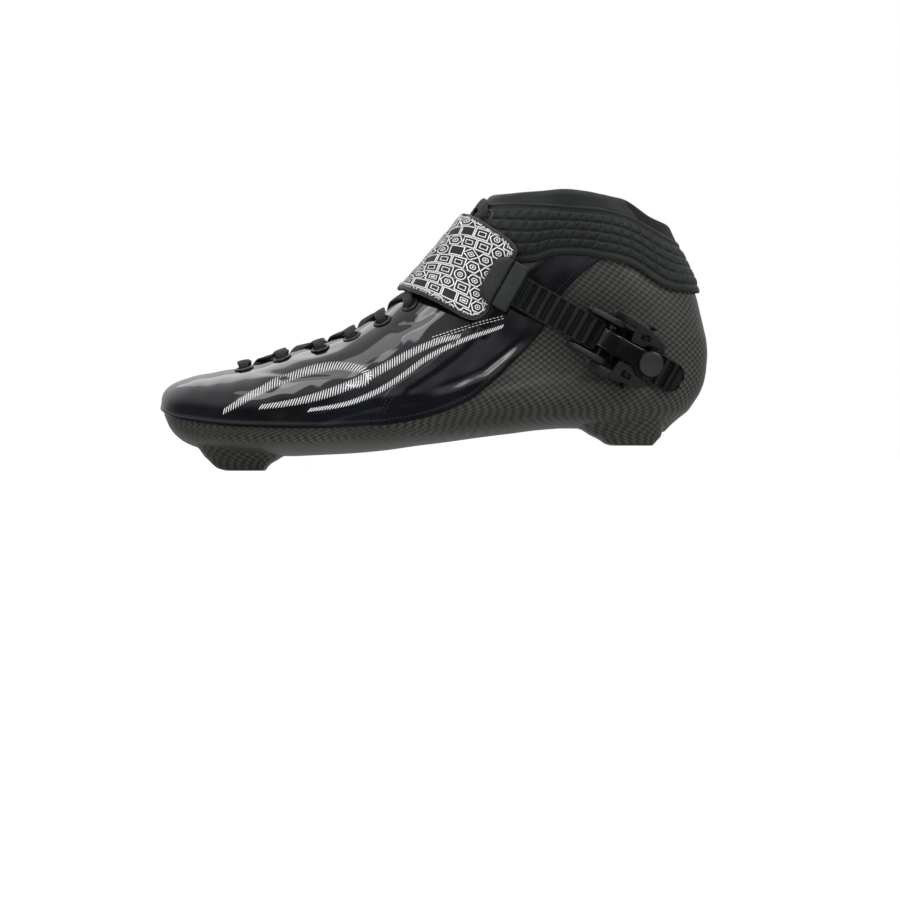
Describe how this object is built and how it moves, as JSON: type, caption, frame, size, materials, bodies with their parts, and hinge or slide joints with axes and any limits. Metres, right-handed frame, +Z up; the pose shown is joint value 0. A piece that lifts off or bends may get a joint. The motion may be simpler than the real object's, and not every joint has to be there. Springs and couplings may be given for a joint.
{
  "type": "low-cut speed skating boot",
  "caption": "Low-cut carbon speed boot with a laced patent upper, padded ankle collar and a ratchet instep strap; two flat mounting faces under the sole.",
  "frame": {"origin": "bottom centre of the boot's box, in the plane of the front mounting face", "axes": "+X from toe to heel, +Y to the wearer's inner side, +Z up; a left boot"},
  "size_m": [0.277, 0.098, 0.1409],
  "materials": {
    "carbon_laminate": "clear-coated carbon-fibre weave, satin gloss",
    "insert_aluminium": "machined",
    "foam_padding": "closed-cell foam",
    "footbed_foam": "fabric-topped foam",
    "lining_fabric": "brushed microfibre",
    "tongue_fabric": "padded woven fabric",
    "patent_leather": "patent gloss",
    "embossed_collar": "matte synthetic leather, diamond embossing",
    "collar_band": "matte synthetic leather, smooth",
    "heel_mesh": "woven mesh",
    "lace_cord": "flat braid",
    "aglet_plastic": "clear-dipped",
    "eyelet_metal": "black lacquer",
    "strap_print": "black fabric with a white geometric print",
    "ladder_plastic": "moulded, ribbed",
    "medial_strap_plastic": "moulded sheet",
    "buckle_black": "moulded",
    "buckle_gloss": "moulded, glossy",
    "steel_fastener": "blackened steel"
  },
  "bodies": {
    "root": {"carbon_shell": "carbon_laminate", "front_mount_insert": "insert_aluminium", "rear_mount_insert": "insert_aluminium", "ankle_padding": "foam_padding", "inner_lining": "lining_fabric", "footbed": "footbed_foam", "tongue": "tongue_fabric", "toe_vamp": "patent_leather", "quarter_lateral": "patent_leather", "quarter_medial": "patent_leather", "collar_panel": "embossed_collar", "collar_band_lateral": "collar_band", "collar_band_medial": "collar_band", "achilles_mesh": "heel_mesh", "lace": "lace_cord", "aglet_lateral": "aglet_plastic", "aglet_medial": "aglet_plastic", "medial_strap": "medial_strap_plastic", "medial_screw": "steel_fastener", "medial_washer": "steel_fastener", "medial_t_nut": "steel_fastener", "buckle_base": "buckle_black", "lever_pin": "steel_fastener", "lever_spring": "steel_fastener", "latch_pin": "steel_fastener", "latch_spring": "steel_fastener", "buckle_screw_1": "steel_fastener", "buckle_screw_2": "steel_fastener", "buckle_t_nut_1": "steel_fastener", "buckle_t_nut_2": "steel_fastener", "eyelet_lateral_1": "eyelet_metal", "eyelet_medial_1": "eyelet_metal", "eyelet_lateral_2": "eyelet_metal", "eyelet_medial_2": "eyelet_metal", "eyelet_lateral_3": "eyelet_metal", "eyelet_medial_3": "eyelet_metal", "eyelet_lateral_4": "eyelet_metal", "eyelet_medial_4": "eyelet_metal", "eyelet_lateral_5": "eyelet_metal", "eyelet_medial_5": "eyelet_metal", "eyelet_lateral_6": "eyelet_metal", "eyelet_medial_6": "eyelet_metal", "eyelet_lateral_7": "eyelet_metal", "eyelet_medial_7": "eyelet_metal", "eyelet_lateral_8": "eyelet_metal", "eyelet_medial_8": "eyelet_metal", "eyelet_lateral_9": "eyelet_metal", "eyelet_medial_9": "eyelet_metal"},
    "strap": {"ladder_strap": "ladder_plastic", "strap_end_cap": "ladder_plastic", "cap_screw": "steel_fastener", "instep_pad": "strap_print"},
    "lever": {"buckle_lever": "buckle_gloss", "pawl_leaf_spring": "steel_fastener"},
    "pawl": {"drive_pawl": "buckle_gloss"},
    "latch": {"release_latch": "buckle_black"}
  },
  "joints": [
    {"name": "strap_slide", "type": "hinge", "parent": "root", "child": "strap", "pos_m": [0.06156, 0.16168, 0.0786], "axis": [-0.4879, 0, -0.8729], "range_deg": [0, 7]},
    {"name": "lever_hinge", "type": "hinge", "parent": "root", "child": "lever", "pos_m": [0.08602, -0.04463, 0.06493], "axis": [-0.4879, 0, -0.8729], "range_deg": [0, 60], "stiffness_Nm_per_rad": 0.01, "springref_deg": -22.92},
    {"name": "pawl_pivot", "type": "hinge", "parent": "lever", "child": "pawl", "pos_m": [0.09148, -0.04459, 0.06188], "axis": [-0.4879, 0, -0.8729], "range_deg": [0, 20], "stiffness_Nm_per_rad": 0.002, "springref_deg": -17.19},
    {"name": "latch_hinge", "type": "hinge", "parent": "root", "child": "latch", "pos_m": [0.10092, -0.04029, 0.0566], "axis": [0.4879, 0, 0.8729], "range_deg": [0, 14], "stiffness_Nm_per_rad": 0.01, "springref_deg": -17.19}
  ]
}
